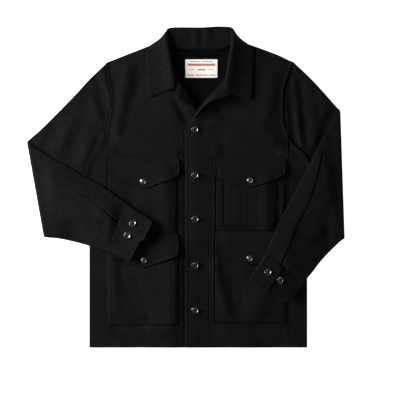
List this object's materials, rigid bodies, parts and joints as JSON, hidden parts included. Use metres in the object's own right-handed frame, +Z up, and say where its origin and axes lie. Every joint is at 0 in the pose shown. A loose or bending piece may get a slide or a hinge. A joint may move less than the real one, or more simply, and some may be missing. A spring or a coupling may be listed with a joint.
{
  "type": "mackinaw jacket",
  "caption": "Heavy plain wool work jacket laid flat and buttoned, sleeves folded over the fronts, with a turned collar, flapped patch pockets and button cuffs.",
  "frame": {"origin": "middle of the base, on the surface that the jacket lies on", "axes": "+Z up out of the jacket's front, +Y from hem to collar, +X towards the wearer's left side"},
  "size_m": [0.8242, 0.8292, 0.0326],
  "materials": {
    "wool": "dull fulled wool",
    "tape": "woven cotton",
    "label": "satin weave",
    "button": "polished",
    "snap": "gloss black"
  },
  "bodies": {
    "root": {"back": "wool", "front_right": "wool", "front_left": "wool", "lapel_right": "wool", "lapel_left": "wool", "sleeve_right": "wool", "sleeve_left": "wool", "cuff_right": "wool", "cuff_left": "wool", "collar": "wool", "pocket_chest_right": "wool", "pocket_chest_left": "wool", "pocket_lower_right": "wool", "pocket_lower_left": "wool", "pocket_pencil_left": "wool", "flap_chest_right": "wool", "flap_chest_left": "wool", "flap_lower_right": "wool", "flap_lower_left": "wool", "neck_tape": "tape", "hanger_loop": "tape", "label": "label", "button_front_1": "button", "button_front_2": "button", "button_front_3": "button", "button_front_4": "button", "button_front_5": "button", "button_cuff_right_1": "button", "button_cuff_right_2": "button", "button_cuff_left_1": "button", "button_cuff_left_2": "button", "snap_chest_right": "snap", "snap_chest_left": "snap", "snap_lower_right": "snap", "snap_lower_left": "snap"}
  },
  "joints": []
}
